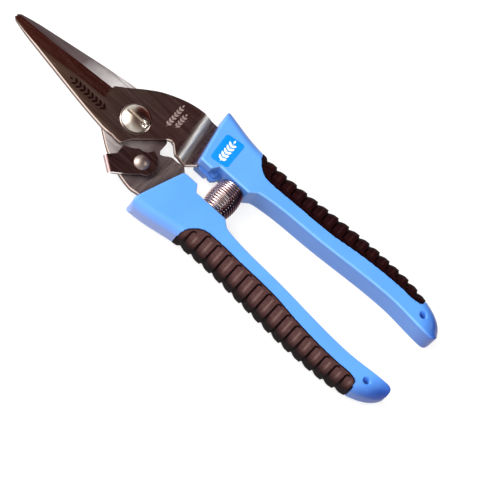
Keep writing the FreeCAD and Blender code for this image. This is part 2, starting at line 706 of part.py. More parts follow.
# ---------------------------------------------------------------- build
def check_document():
    """Stop if an object failed or a sub-part isn't one valid solid."""
    for thing in doc.Objects:
        if "Invalid" in thing.State or "Error" in thing.State:
            raise RuntimeError(f"{thing.Name} failed: {thing.State}")
    for thing in subparts:
        if thing.Shape.isNull() or not thing.Shape.isValid():
            raise RuntimeError(f"{thing.Label} has no valid shape")


def write_parts():
    os.makedirs("parts", exist_ok=True)
    whole = FreeCAD.BoundBox()
    for thing in subparts:
        thing.Shape.exportStep(f"parts/{thing.Label}.step")
        whole.add(thing.Shape.BoundBox)
        print(f"{thing.Label}: {len(thing.Shape.Solids)} solid, {thing.Shape.Volume:.1f} mm3")
    print(f"box x {whole.XMin:.2f} {whole.XMax:.2f} y {whole.YMin:.2f} {whole.YMax:.2f}"
          f" z {whole.ZMin:.2f} {whole.ZMax:.2f}")


def main():
    fill_sheet()
    make_blades()
    make_handles()
    make_screw()
    make_washer()
    make_nut()
    make_rivet()
    make_lever()
    make_spring()
    doc.recompute()
    check_document()
    write_parts()


main()
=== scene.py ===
"""Floral snips: surfaces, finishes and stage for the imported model.

Shapes are worked out in millimetres from the pivot axis, for the upper half, and then put in
the model's frame: +X from the blade tips to the handle ends, +Y towards the upper handle,
+Z up, lying on z = 0. The lower half is the upper one turned over about the X axis.
"""
import json
import math

import bmesh
import bpy
import numpy as np
from mathutils import Matrix, Vector


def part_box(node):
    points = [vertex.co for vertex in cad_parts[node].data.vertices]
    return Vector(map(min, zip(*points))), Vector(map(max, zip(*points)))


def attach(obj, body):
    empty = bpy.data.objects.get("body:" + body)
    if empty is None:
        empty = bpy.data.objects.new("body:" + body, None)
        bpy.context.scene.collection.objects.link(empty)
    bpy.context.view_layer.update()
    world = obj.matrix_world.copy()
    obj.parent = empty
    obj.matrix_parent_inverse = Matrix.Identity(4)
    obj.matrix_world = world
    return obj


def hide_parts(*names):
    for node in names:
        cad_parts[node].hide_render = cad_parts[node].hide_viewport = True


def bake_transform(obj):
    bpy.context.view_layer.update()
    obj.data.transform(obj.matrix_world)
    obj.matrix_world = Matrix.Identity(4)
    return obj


bl_info = {
    "name": "Floral snips",
    "version": (1, 0, 0),
    "blender": (4, 5, 0),
    "location": "View3D > Sidebar > Snips",
    "description": "Builds floral snips: blades, handles, soft grips, pivot, lock and spring",
    "category": "Add Mesh",
}

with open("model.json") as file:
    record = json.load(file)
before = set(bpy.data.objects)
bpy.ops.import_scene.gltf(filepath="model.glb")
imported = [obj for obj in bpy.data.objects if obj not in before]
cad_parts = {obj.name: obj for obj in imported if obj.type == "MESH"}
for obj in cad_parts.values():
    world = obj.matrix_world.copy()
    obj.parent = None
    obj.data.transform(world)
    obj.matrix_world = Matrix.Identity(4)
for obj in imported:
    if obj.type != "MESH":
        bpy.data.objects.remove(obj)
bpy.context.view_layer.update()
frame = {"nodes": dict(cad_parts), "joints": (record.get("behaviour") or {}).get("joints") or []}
MM = 0.001
THICK = 12.0                                     # of a handle
MIDDLE = THICK / 2
JOINTS = {joint["name"]: joint for joint in frame["joints"]}
PIVOT = [value / MM for value in JOINTS["blade_pivot"]["pos_m"][:2]]
RIVET = [value / MM for value in JOINTS["lock_turn"]["pos_m"][:2]]
SPRING_LOW, SPRING_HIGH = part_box("return_spring")


# ------------------------------------------------------------------ curves in plan
def curve_through(points, x, first=None, last=None):
    """Cubic Hermite curve y(x) through the points; the slope at an inner point is the mean of
    its neighbours' slopes, and first and last are the slopes at the ends."""
    px, py = np.array(points, float).T
    chord = np.diff(py) / np.diff(px)
    slope = np.concatenate([[chord[0] if first is None else first],
                            (chord[1:] + chord[:-1]) / 2,
                            [chord[-1] if last is None else last]])
    at = np.clip(np.searchsorted(px, x) - 1, 0, len(px) - 2)
    wide = px[at + 1] - px[at]
    t = (x - px[at]) / wide
    return ((2 * t**3 - 3 * t**2 + 1) * py[at] + (t**3 - 2 * t**2 + t) * wide * slope[at]
            + (3 * t**2 - 2 * t**3) * py[at + 1] + (t**3 - t**2) * wide * slope[at + 1])


def bezier(points, count):
    """Cubic Bezier curve: the Bernstein blend of four points."""
    t = np.linspace(0, 1, count)[:, None]
    a, b, c, d = np.array(points, float)
    return (1 - t)**3 * a + 3 * t * (1 - t)**2 * b + 3 * t**2 * (1 - t) * c + t**3 * d


def rise(value, start, end):
    """Smooth step from 0 at start to 1 at end: 3v^2 - 2v^3, with v the way between them."""
    v = np.clip((value - start) / (end - start), 0, 1)
    return v * v * (3 - 2 * v)


# The upper handle's outlines, in millimetres from the pivot
OUTER = [(41, 23.3), (55, 22.95), (78, 24.35), (98, 25.15), (119, 23.2)]
CORNER = [(131.1, 15.2), (131.1, 13.3), (130.5, 12.2), (128.8, 12.1)]
INNER = [(51, 9.35), (78, 11.25), (110, 13.25), (128.8, 12.1)]
SEAT_WALL, SEAT_FRONT, SEAT_BACK = 6.7, 33.4, 47.0
GRIP_EDGE = [(62, 15.5), (78, 16.1), (90, 17.7), (100, 18.6), (110, 18.95), (116.4, 18.9)]
GRIP_BACK = 119.8
END_X = CORNER[0][0]
HOLE, HOLE_RADIUS = (122, 16.9), 1.45
SPRING_X = 42.0
ROUND = 4.2                                      # of a handle's outer edges
GRIP_THICK = 2.9
# What differs between the halves: the front curve, where the outer side starts, how blunt the
# front's outer corner is, where the grip starts, the end's two inner control points, the
# rounding at the front and how far the outer side's painted shade comes over the front's brim
SIDES = {
    "upper": {"front": [(26.4, 4.0), (24.3, 14.5), (22.3, 26.18)], "corner": [(22.4, 26.0), (28, 25.1)],
              "blunt": 0.6, "grip_x": 41.4, "butt": [(124.4, 22.1), (131.0, 19.0)],
              "first_round": 2.4, "brim": 0.75},
    "lower": {"front": [(25.5, 3.9), (21.6, 14.5), (17.3, 26.9)], "corner": [(17.3, 26.7), (26, 25.9)],
              "blunt": 3.2, "grip_x": 38.5, "butt": [(124.2, 22.0), (130.6, 18.6)],
              "first_round": ROUND, "brim": 0.0},
}


def outer_side(side):
    """Sampled plan curve of the handle's outer side."""
    corner, behind = SIDES[side]["corner"]
    ahead = (corner[0] - 6, corner[1] + 0.9)
    x = np.linspace(ahead[0], OUTER[-1][0], 400)
    along = curve_through([ahead, corner, behind] + OUTER, x, last=-0.27)
    butt = bezier([OUTER[-1], *SIDES[side]["butt"], CORNER[0]], 60)
    return np.vstack([np.column_stack([x, along]), butt[1:]])


def inner_side(side):
    """Sampled plan curve of the handle's inner side, with the spring seat and the front step."""
    low = SIDES[side]["front"][0][1]
    x = np.linspace(INNER[0][0], INNER[-1][0], 260)
    along = np.column_stack([x, curve_through(INNER, x, first=0.18, last=0)])
    seat = [(5, low), (31.6, low), (SEAT_FRONT, SEAT_WALL), (SEAT_BACK, SEAT_WALL), (48.4, 7.9),
            (49.6, 8.9)]
    return np.vstack([seat, along, bezier(CORNER, 20)[::-1][1:]])


def grip_border(side):
    """Sampled plan curve where rubber meets handle, from the front corner to the back one."""
    x = SIDES[side]["grip_x"]
    start = [(x, 23.9), (x + 0.9, 20.6), (x + 3.2, 17.4), (x + 6.4, 15.5), (x + 11, 15.1)]
    points = np.array(start + GRIP_EDGE + [(118.8, 19.8), (GRIP_BACK, 23.6)])
    run = np.concatenate([[0], np.cumsum(np.hypot(*np.diff(points, axis=0).T))])
    t = np.linspace(0, run[-1], 500)
    return np.column_stack([curve_through(np.column_stack([run, points[:, k]]), t) for k in (0, 1)])


def read(curve, x):
    """Height of a sampled plan curve at x."""
    return np.interp(x, curve[:, 0], curve[:, 1])


# ------------------------------------------------------------------ meshes
def placed(points, side):
    """Points from the pivot in millimetres to metres in the frame; the lower half is turned over."""
    x, y, z = np.moveaxis(np.asarray(points, float), -1, 0)
    if side == "lower":
        y, z = -y, THICK - z
    return np.stack([x + PIVOT[0], y + PIVOT[1], z], -1) * MM


def quads(rows, columns):
    """Faces of a grid of points whose rows are closed rings."""
    a, c = np.arange(rows - 1)[:, None], np.arange(columns)[None, :]
    b, d = a + 1, (c + 1) % columns
    grid = [a * columns + c, b * columns + c, b * columns + d, a * columns + d]
    return np.stack(grid, -1).reshape(-1, 4)


def capped(rows, columns):
    """Faces of a tube of point rings, with a single polygon over each end."""
    ends = [range(columns), range((rows - 1) * columns, rows * columns)]
    return [*quads(rows, columns), *ends]


def new_mesh(name, points, faces):
    mesh = bpy.data.meshes.new(name)
    places = np.asarray(points, float).reshape(-1, 3)
    mesh.from_pydata(places.tolist(), [], [list(map(int, face)) for face in faces])
    return mesh


def new_object(name, data):
    """An object in the scene that shows the data."""
    made = bpy.data.objects.new(name, data)
    bpy.context.scene.collection.objects.link(made)
    return made


def make_piece(name, points, faces, body, slot, material, nodes=(), sharp=40.0, **kept):
    """A mesh object at the origin that rides on a body; its normals are made to point outwards.
    kept holds numbers for each point, for the material."""
    mesh = new_mesh(name, points, faces)
    for key, values in kept.items():
        store(mesh, key, np.ravel(values))
    tidy_mesh(mesh, sharp)
    return add_object(name, mesh, body, material, nodes)


def tidy_mesh(mesh, sharp, near=1e-7, shape=None):
    """Merge doubles, let shape work on the mesh, point the faces outwards, and shade smooth below
    the sharp angle."""
    bm = bmesh.new()
    bm.from_mesh(mesh)
    bmesh.ops.remove_doubles(bm, verts=bm.verts, dist=near)
    if shape:
        shape(bm)
    bmesh.ops.recalc_face_normals(bm, faces=bm.faces)
    bm.to_mesh(mesh)
    bm.free()
    mesh.polygons.foreach_set("use_smooth", [True] * len(mesh.polygons))
    mesh.set_sharp_from_angle(angle=math.radians(sharp))
    mesh.update()


def add_object(name, mesh, body, material, nodes=()):
    """An object in the scene that rides on a body and replaces its CAD nodes."""
    piece = new_object(name, mesh)
    mesh.materials.clear()
    mesh.materials.append(material)
    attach(piece, body)
    if nodes:
        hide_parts(*nodes)
    return piece


def unit(vectors):
    """Each row at length 1."""
    return vectors / np.linalg.norm(vectors, axis=1)[:, None]


def slab(outline, low, high, edge, steps=3):
    """Plate from a closed outline: the ring of points is drawn in by edge*(1 - cos a) while it
    climbs by edge*sin a at both rims, and the two flat faces are single polygons."""
    ring = np.asarray(outline, float)
    ahead, behind = np.roll(ring, -1, 0) - ring, ring - np.roll(ring, 1, 0)
    turn = unit(ahead) + unit(behind)
    out = unit(np.column_stack([turn[:, 1], -turn[:, 0]]))
    area = np.sum(ring[:, 0] * np.roll(ring[:, 1], -1) - np.roll(ring[:, 0], -1) * ring[:, 1])
    out *= 1 if area > 0 else -1
    angle = np.linspace(0, math.pi / 2, steps + 1)
    drawn = np.concatenate([edge * (1 - np.sin(angle)), edge * (1 - np.cos(angle))])
    level = np.concatenate([low + edge * (1 - np.cos(angle)), high - edge + edge * np.sin(angle)])
    flat = ring[None] - out[None] * drawn[:, None, None]
    points = np.concatenate([flat, np.broadcast_to(level[:, None, None], flat.shape[:2] + (1,))], -1)
    return points.reshape(-1, 3), capped(*points.shape[:2])


def turned(profile, centre, steps=64):
    """Surface of revolution: each profile point (radius, height) goes round the centre."""
    radius, height = np.array(profile, float).T
    angle = np.linspace(0, 2 * math.pi, steps, endpoint=False)
    points = np.stack([centre[0] + radius[:, None] * np.cos(angle),
                       centre[1] + radius[:, None] * np.sin(angle),
                       np.broadcast_to(height[:, None], (len(radius), steps))], -1)
    return points.reshape(-1, 3), capped(len(radius), steps)


def cut_with(piece, points, faces):
    """Take a closed tool mesh out of a piece and keep the result as its own mesh."""
    mesh = new_mesh("tool", points, faces)
    tidy_mesh(mesh, 40)
    tool = new_object("tool", mesh)
    cut = piece.modifiers.new("cut", "BOOLEAN")
    cut.operation, cut.solver, cut.object = "DIFFERENCE", "EXACT", tool
    keep_modified(piece)
    bpy.data.objects.remove(tool)
    bpy.data.meshes.remove(mesh)


def keep_modified(piece):
    """Replace a piece's mesh by what its modifiers make of it."""
    bpy.context.view_layer.update()
    made = bpy.data.meshes.new_from_object(piece.evaluated_get(bpy.context.evaluated_depsgraph_get()))
    piece.modifiers.clear()
    old, piece.data = piece.data, made
    made.name = old.name
    bpy.data.meshes.remove(old)


# ------------------------------------------------------------------ materials
def linear(colour):
    """sRGB parts from 0 to 255 as linear light, with alpha."""
    parts = np.array(colour, float) / 255
    return (*np.where(parts <= 0.04045, parts / 12.92, ((parts + 0.055) / 1.055)**2.4), 1.0)


def toned(*stops):
    """Places with their sRGB tones, made linear."""
    return [(place, linear(tone)) for place, tone in stops]


def grey(value):
    return (value,) * 3 + (1,)


WHITE, BLACK = grey(1), grey(0)


class Wiring:
    """Short ways to add nodes to a tree. A node's input takes a value or another node's socket."""

    def __init__(self, tree):
        self.tree = tree

    def feed(self, socket, source):
        if isinstance(source, bpy.types.NodeSocket):
            self.tree.links.new(source, socket)
        else:
            socket.default_value = source

    def node(self, kind, *sources, operation=None, **inputs):
        """A node fed by place or by name, with the spaces in a name written as underscores."""
        node = self.tree.nodes.new(kind)
        if operation:
            node.operation = operation
        for key, source in [*enumerate(sources), *inputs.items()]:
            self.feed(node.inputs[key if isinstance(key, int) else key.replace("_", " ")], source)
        return node

    def maths(self, operation, *sources):
        return self.node("ShaderNodeMath", *sources, operation=operation).outputs["Value"]

    def facing(self, place, way):
        """Dot product of a vector socket and a fixed direction."""
        return self.node("ShaderNodeVectorMath", place, way, operation="DOT_PRODUCT").outputs["Value"]

    def coords(self, kind):
        return self.node("ShaderNodeTexCoord").outputs[kind]

    def ramp(self, source, stops):
        """Colour socket that runs through the stops."""
        node = self.node("ShaderNodeValToRGB", source)
        elements = node.color_ramp.elements
        while len(elements) < len(stops):
            elements.new(0.5)
        for element, (place, colour) in zip(elements, stops):
            element.position, element.color = place, colour
        return node.outputs["Color"]

    def mix(self, share, first, second, kind="MIX"):
        """Colour socket of two colours put together by their share."""
        node = self.tree.nodes.new("ShaderNodeMix")
        node.data_type, node.blend_type = "RGBA", kind
        for key, source in (("Factor", share), ("A", first), ("B", second)):
            self.feed(node.inputs[key], source)
        return node.outputs["Result"]

    def noise(self, scale, detail=3.0, stretch=(1, 1, 1), turn=0.0):
        """Noise on Object coordinates, stretched and turned about Z; scale is in features per metre."""
        place = self.node("ShaderNodeMapping", Vector=self.coords("Object"), Scale=stretch,
                          Rotation=(0, 0, turn)).outputs["Vector"]
        return self.node("ShaderNodeTexNoise", Vector=place, Scale=scale, Detail=detail).outputs["Fac"]

    def attribute(self, name):
        """Socket of a number kept on the mesh."""
        node = self.node("ShaderNodeAttribute")
        node.attribute_name = name
        return node.outputs["Fac"]

    def spread(self, source, start, end):
        """Socket that runs from 0 at start to 1 at end."""
        return self.node("ShaderNodeMapRange", source, start, end).outputs["Result"]

    def upright_share(self, low, high):
        """Colour socket: black on level faces, white on upright ones, by the surface normal's Z."""
        normal = self.node("ShaderNodeSeparateXYZ", self.coords("Normal"))
        return self.ramp(self.maths("ABSOLUTE", normal.outputs["Z"]), [(low, WHITE), (high, BLACK)])


class Finish(Wiring):
    """A material in the making, round its one shader, whose inputs are given by name."""

    def __init__(self, name, **inputs):
        self.material = bpy.data.materials.new(name)
        self.material.use_nodes = True
        super().__init__(self.material.node_tree)
        self.set(**inputs)

    def set(self, **inputs):
        shader = self.tree.nodes["Principled BSDF"]
        for key, source in inputs.items():
            self.feed(shader.inputs[key.replace("_", " ")], source)

    def bump(self, height, strength, distance):
        self.set(Normal=self.node("ShaderNodeBump", Height=height, Strength=strength,
                                  Distance=distance).outputs["Normal"])


def plastic(name, colour, deep, sides=None):
    """Satin moulded plastic: two close tones clouded by a broad noise, with a very fine grain.
    sides are four painted tones, for its inner side, its outer side, its far end and its inner top
    edge, told by the surface normal and by the attributes outer, brim, end and that of the inner
    edge; they paint light and shade on the sides, shade at the end and a highlight along the edge."""
    finish = Finish(name, Roughness=0.34, Specular_IOR_Level=0.4)
    surface = finish.ramp(finish.noise(60, 2), [(0.35, deep), (0.65, colour)])
    if sides:
        inner, outer, end, edge_highlight = (linear(tone) for tone in sides)
        # Painted light and shade: the side, brim and end tones stand in for how light falls, the inner
        # edge tone for a highlight
        side = finish.mix(finish.attribute("outer"), inner, outer)
        surface = finish.mix(finish.upright_share(0.1, 0.95), surface, side)
        for key, tone in (("brim", outer), ("edge_highlight", edge_highlight), ("end", end)):
            surface = finish.mix(finish.attribute(key), surface, tone)
    finish.set(Base_Color=surface)
    finish.bump(finish.noise(2600, 2), 0.12, 0.00006)
    return finish.material


def rubber(name, colour, dusty, crest_highlight):
    """Soft black-brown rubber: fine speckle in colour, roughness and bump, with a painted highlight
    on the crests and painted shade in the notches, along the borders and on the sides, told by the
    attributes crest and hollow and by the surface normal."""
    finish = Finish(name, IOR=1.1)
    # deep is the tone of the painted shade
    speckle, deep = finish.noise(1500, 4), linear((14, 2, 3))
    surface = finish.ramp(speckle, [(0.35, colour), (0.75, dusty)])
    # Painted highlight on the crests, painted shade in the hollows and on the upright sides
    surface = finish.mix(finish.attribute("crest"), surface, crest_highlight)
    surface = finish.mix(finish.attribute("hollow"), surface, deep)
    surface = finish.mix(finish.upright_share(-0.3, 0.8), surface, deep)
    finish.set(Base_Color=surface, Roughness=finish.ramp(speckle, [(0.3, grey(0.42)), (0.7, grey(0.62))]))
    finish.bump(speckle, 0.25, 0.00008)
    return finish.material


def steel(name, stops, rough, grain_turn=0.0, edge_highlight=None, press_turn=0.0, satin=(126, 116, 106),
          rim=(232, 210, 198)):
    """Rolled and ground steel. The face's colour runs along X through the stops, given in
    millimetres from the pivot, which paint the face's lighter and darker reflections, under a drawn
    grain and a broad cloud, and the edge band, when given, adds a painted highlight as a bright band
    along an edge. A joggle, told by the attribute bent, is stretched to a satin with a painted
    highlight along its crest, told by lit, and the drawn grain gives way to fine lines along its
    bend, told by pressed. The sheared sides, told by the normal, are pale in the upper part of the
    plate and dark in the lower, told by the attribute across: a burnished band and a torn one,
    drawn brighter and darker as painted highlight and painted shadow."""
    finish = Finish(name, Metallic=1.0)
    place = finish.coords("Object")
    first, last = stops[0][0], stops[-1][0]
    along = finish.spread(finish.node("ShaderNodeSeparateXYZ", place).outputs["X"],
                          (first + PIVOT[0]) * MM, (last + PIVOT[0]) * MM)
    cloud = 0.12
    shifted = finish.maths("MULTIPLY_ADD", finish.noise(120, 3), cloud, along)
    surface = finish.ramp(shifted, [((x - first) / (last - first) + cloud / 2, colour)
                                    for x, colour in stops])
    # The edge band is a painted highlight
    if edge_highlight:
        slope, start, wide, colour = edge_highlight
        start = (start + slope * PIVOT[0] + PIVOT[1]) * MM
        near = finish.spread(finish.facing(place, (slope, 1, 0)), start, start + wide * MM)
        band = finish.ramp(near, [(0.0, WHITE), (0.3, grey(0.35)), (1.0, BLACK)])
        surface = finish.mix(band, surface, colour)
    bent = finish.attribute("bent")
    surface = finish.mix(bent, surface, linear(satin))
    # Painted highlight along the joggle's crest
    surface = finish.mix(finish.attribute("lit"), surface, (1, 1, 0.93, 1))
    grain = finish.noise(900, 5, (0.06, 1, 1), grain_turn)
    drawn = finish.ramp(grain, [(0.3, grey(0.8)), (0.7, WHITE)])
    lines = finish.noise(1300, 4, (1, 0.05, 1), press_turn)
    pressed = finish.ramp(lines, [(0.36, (0.62, 0.6, 0.6, 1)), (0.62, WHITE)])
    streaks = finish.mix(finish.attribute("pressed"), drawn, pressed)
    surface = finish.mix(1.0, surface, streaks, "MULTIPLY")
    # Sheared sides: pale above as a painted highlight, dark below as painted shadow, over the burnished
    # and torn bands
    sheared = finish.ramp(finish.attribute("across"), toned((0.4, (96, 72, 66)), (0.66, rim)))
    shine = finish.ramp(grain, [(0.3, grey(rough * 0.8)), (0.7, grey(rough * 1.25))])
    finish.set(Base_Color=finish.mix(finish.upright_share(0.35, 0.8), surface, sheared),
               Roughness=finish.mix(bent, shine, grey(0.5)))
    finish.bump(grain, 0.15, 0.00003)
    return finish.material


def polished(name, colour, tarnish, rough, shade=None):
    """Turned and polished steel with a faint cloud of tarnish; shade is the tone that it takes
    where the attribute of that name says so."""
    finish = Finish(name, Metallic=1.0, Roughness=rough)
    surface = finish.ramp(finish.noise(350, 3), toned((0.3, tarnish), (0.7, colour)))
    if shade:
        surface = finish.mix(finish.attribute("shade"), surface, linear(shade))
    finish.set(Base_Color=surface)
    return finish.material


# ------------------------------------------------------------------ settings
class SnipsSizes(bpy.types.PropertyGroup):
    """Sizes that a user would change, in metres."""
    groove_deep: bpy.props.FloatProperty(
        name="Groove depth", description="Depth of the grip grooves", default=0.00066, unit="LENGTH")
    groove_wide: bpy.props.FloatProperty(
        name="Groove width", description="Length of a groove's slow rise", default=0.0025, unit="LENGTH")
    groove_count: bpy.props.IntProperty(
        name="Grooves", description="Number of grooves in each grip", default=16, min=1)
    grip_proud: bpy.props.FloatProperty(
        name="Grip height", description="How far the rubber stands above the handle", default=0.00012,
        unit="LENGTH")
    wire_radius: bpy.props.FloatProperty(
        name="Spring wire", description="Radius of the spring wire", default=0.0004, unit="LENGTH")
    spring_turns: bpy.props.FloatProperty(
        name="Spring turns", description="Turns of the return spring", default=11.5, min=2)
    edge_round: bpy.props.FloatProperty(
        name="Plate edge", description="Rounding of the stamped plates' edges", default=0.00014,
        unit="LENGTH")


class SnipsColours(bpy.types.PropertyGroup):
    """Colours that a user would change."""
    handle: bpy.props.FloatVectorProperty(
        name="Handle", description="Moulded handle", subtype="COLOR", size=4,
        default=linear((95, 161, 243)))
    label: bpy.props.FloatVectorProperty(
        name="Label", description="Plain label pad", subtype="COLOR", size=4,
        default=linear((0, 140, 250)))
    grip: bpy.props.FloatVectorProperty(
        name="Grip", description="Soft grip", subtype="COLOR", size=4, default=linear((70, 46, 46)))
    steel: bpy.props.FloatVectorProperty(
        name="Blade", description="Blade face", subtype="COLOR", size=4, default=linear((176, 160, 154)))


# ------------------------------------------------------------------ operators
def section_rules(corner_steps=12, side_steps=4, face_steps=40):
    """A handle's section as weights: y = w . (inner y, outer y, inner radius, outer radius) and
    z = 6 + w . (half thickness, inner radius, outer radius). Corners are quarter circles and the
    runs between them are divided evenly."""
    a = np.linspace(0, math.pi / 2, corner_steps)
    none, whole = 0 * a, 0 * a + 1
    outer = np.stack([none, whole, none, np.sin(a) - 1, whole, none, np.cos(a) - 1], 1)
    inner = np.stack([whole, none, 1 - np.sin(a), none, whole, np.cos(a) - 1, none], 1)
    under = (1, 1, 1, 1, -1, -1, -1)
    corners = [outer, (outer * under)[::-1], inner * under, inner[::-1]]
    rules = []
    for corner, after, steps in zip(corners, corners[1:] + corners[:1], (side_steps, face_steps) * 2):
        between = np.arange(1, steps)[:, None] / steps
        rules += [corner, corner[-1] + (after[0] - corner[-1]) * between]
    return np.concatenate(rules)


def handle_surface(side):
    """Handle as sections along X: the stations lean to the front curve, which turns back by a
    quarter circle at the outer corner, draw in by a quarter circle at the front edge, sink to the
    core where the rubber lies, and come down at the end by a quarter ellipse that is deeper
    towards the outer side. With the points come their shares of outer side, outer brim and far
    end, for painted light and shade, and of the inner top edge, for a painted highlight."""
    data = SIDES[side]
    outer, inner, border = outer_side(side), inner_side(side), grip_border(side)
    front = np.polyfit([p[1] for p in data["front"]], [p[0] for p in data["front"]], 2)
    start = data["front"][1][0]
    soft, dome = 0.9, 6.5                        # rounding of the front edge and of the end
    halfway = 0.086                              # (1 - sin a)(1 - cos a) halfway round a corner
    lead = np.linspace(0, math.pi / 2, 5)
    middle = np.concatenate([np.linspace(start + soft, 54, 100), np.linspace(54.8, END_X - dome, 110)])
    tail = np.linspace(0, math.pi / 2, 25)[1:]
    s = np.concatenate([start + soft - soft * np.cos(lead), middle[1:],
                        END_X - dome + dome * np.sin(tail)])
    inset = np.concatenate([soft * (1 - np.sin(lead)), np.zeros(len(middle) - 1 + len(tail))])
    sinking = np.concatenate([np.zeros(len(lead) + len(middle) - 1), 1 - np.cos(tail)])[:, None]
    rules = section_rules()
    half = (MIDDLE - inset)[:, None]
    x = np.repeat(s[:, None], len(rules), 1)
    lean = 1 - rise(s, start, 40.5)
    for _ in range(4):                           # x and the two sides settle on each other
        wall, rim = read(inner, x) + inset[:, None], read(outer, x) - inset[:, None]
        wide = rim - wall
        tall = ROUND - (ROUND - data["first_round"]) * (1 - rise(x, 22, 36))
        small, large = np.minimum(0.9, 0.22 * wide), np.minimum(tall, 0.7 * wide)
        y = rules[:, 0] * wall + rules[:, 1] * rim + rules[:, 2] * small + rules[:, 3] * large
        up = np.clip(1 - (rim - y) / data["blunt"], 0, 1)
        blunted = data["blunt"] * (1 - np.sqrt(1 - 0.97 * up**2)) * 0.9
        x = s[:, None] + (np.polyval(front, y) + blunted - start) * lean[:, None]
    height = rules[:, 4] * half + rules[:, 5] * small + rules[:, 6] * tall
    z = MIDDLE + height * (1 - sinking * (0.1 + 0.72 * rise(y, 12.6, 17.1)))
    into = y - read(border, np.clip(x, border[0, 0], border[-1, 0]))
    inside = 1
    for past in (into, x - border[0, 0], border[-1, 0] - x):
        inside = inside * rise(past, 0.08, 0.38)
    # Shares for painted light and shade: the outer side and brim tones, and a painted highlight along the
    # inner top edge
    outer_share = np.clip((y - rim + large) / np.maximum(large, 0.01), 0, 1)
    shares = {"outer": outer_share * (1 - rise(x, 115, 122)),
              "edge_highlight": np.abs(rules[:, 5]) * rules[:, 2] / halfway + 0 * x,
              "brim": data["brim"] * rise(y - rim, -ROUND, 0) * (1 - rise(x, 36, 44))}
    y = y + inside * (np.minimum(y, rim - 3.0) - y)
    z = z + inside * (np.clip(z, 3.0, 9.0) - z)
    # Painted shade towards the far end
    shares["end"] = rise(x + (y - 17) * 0.6, 119, 131)
    points = np.stack([x, y, z], -1)
    closing = np.repeat(points[:1], 4, 0)        # rings that shut the front face
    closing[..., 2] = MIDDLE + (closing[..., 2] - MIDDLE) * np.array([0, 0.25, 0.5, 0.75])[:, None]
    points = np.concatenate([closing, points])
    shares = {key: np.concatenate([np.repeat(share[:1], len(closing), 0), share])
              for key, share in shares.items()}
    rows, columns = points.shape[:2]
    faces = [*quads(rows, columns), range((rows - 1) * columns, rows * columns)]
    return points.reshape(-1, 3), faces, shares


class SNIPS_OT_handles(bpy.types.Operator):
    """Moulded handles with lanyard holes, spring pegs, the stop lug and the plain label pad"""
    bl_idname = "snips.handles"
    bl_label = "Handles"

    LUG = [(27.0, 7.5), (27.2, 4.4), (27.8, 3.5), (28.6, 3.1), (32.3, 3.1), (33.0, 2.6), (34.4, 2.6),
           (35.5, 3.8), (36.2, 5.0), (36.5, 7.5)]
    LUG_STEP = [(28.2, 7.5), (28.4, 4.9), (28.9, 4.3), (32.7, 4.2), (33.4, 3.8), (34.2, 3.8), (34.9, 4.7),
                (35.4, 7.5)]
    LABEL, LABEL_ROUND = [(27.3, 18.2), (35.1, 19.4), (35.6, 8.0), (28.3, 6.8)], 1.3

    def execute(self, context):
        colours = context.scene.snips_colours
        # The side tones are painted: shade on the inner side, light on the lower handle's outer side and
        # shade on the upper's, shade at the far end and a highlight along the inner top edge
        for side, outer in (("lower", (136, 158, 222)), ("upper", (76, 112, 190))):
            blue = plastic(f"{side}_satin_blue", colours.handle, linear((90, 156, 238)),
                           ((92, 146, 226), outer, (20, 64, 166), (128, 184, 248)))
            points, faces, shares = handle_surface(side)
            piece = make_piece(f"{side}_handle_moulding", placed(points, side), faces, side,
                               "handle_plastic", blue, [f"{side}_handle"], 35, **shares)
            hole, flat = turned([(HOLE_RADIUS, -2), (HOLE_RADIUS, THICK + 2)], HOLE, 40)
            cut_with(piece, placed(hole, side), flat)
            peg, flat = turned([(0.01, 0), (2.2, 0), (2.6, 0.4), (2.6, 3.6)], (0, 0), 40)
            peg = np.column_stack([SPRING_X + peg[:, 0], SEAT_WALL - 2.6 + peg[:, 2], MIDDLE + peg[:, 1]])
            make_piece(f"{side}_spring_peg", placed(peg, side), flat, side, "handle_plastic", blue)
        # The lug's deeper blue is painted shade in its recess
        shaded = plastic("lug_blue", linear((72, 118, 192)), linear((66, 110, 184)))
        for name, ring, low, high in (("upper_stop_lug", self.LUG, -1.4, 0.5),
                                      ("upper_lug_step", self.LUG_STEP, 0.2, 1.4)):
            lug, flat = slab(ring, MIDDLE + low, MIDDLE + high, 0.35)
            make_piece(name, placed(lug, "upper"), flat, "upper", "handle_plastic", shaded)
        self.label(colours)
        return {"FINISHED"}

    def label(self, colours):
        """Rounded pad: each corner is a quadratic Bezier curve between its two sides."""
        corners = np.array(self.LABEL, float)
        before = corners + unit(np.roll(corners, 1, 0) - corners) * self.LABEL_ROUND
        after = corners + unit(np.roll(corners, -1, 0) - corners) * self.LABEL_ROUND
        t = np.linspace(0, 1, 7)[:, None]
        ring = np.vstack([(1 - t)**2 * a + 2 * t * (1 - t) * here + t**2 * b
                          for a, here, b in zip(before, corners, after)])
        pad, flat = slab(ring, THICK - 0.3, THICK + 0.05, 0.04)
        make_piece("upper_label_pad", placed(pad, "upper"), flat, "upper", "handle_plastic",
                   plastic("label_blue", colours.label, linear((0, 132, 244))))


